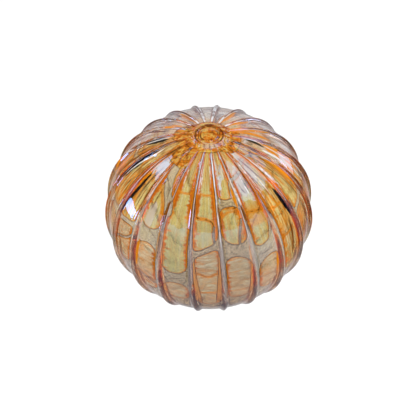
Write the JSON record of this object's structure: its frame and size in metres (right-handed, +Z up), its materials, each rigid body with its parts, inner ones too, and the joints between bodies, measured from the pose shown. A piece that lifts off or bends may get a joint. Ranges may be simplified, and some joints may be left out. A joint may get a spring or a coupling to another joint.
{
  "type": "blown glass ornament",
  "caption": "Ribbed ball of blown amber glass with a round seal on top and a small ground flat that it stands on.",
  "frame": {"origin": "middle of the ground flat that the ball stands on", "axes": "+Z up through the seal, along the axis that the ribs meet on; -Y towards the front"},
  "size_m": [0.1189, 0.119, 0.1161],
  "materials": {
    "amber_glass": "polished, lustred",
    "clear_glass": "polished, lustred"
  },
  "bodies": {
    "root": {"glass_ball": "amber_glass"}
  },
  "joints": []
}
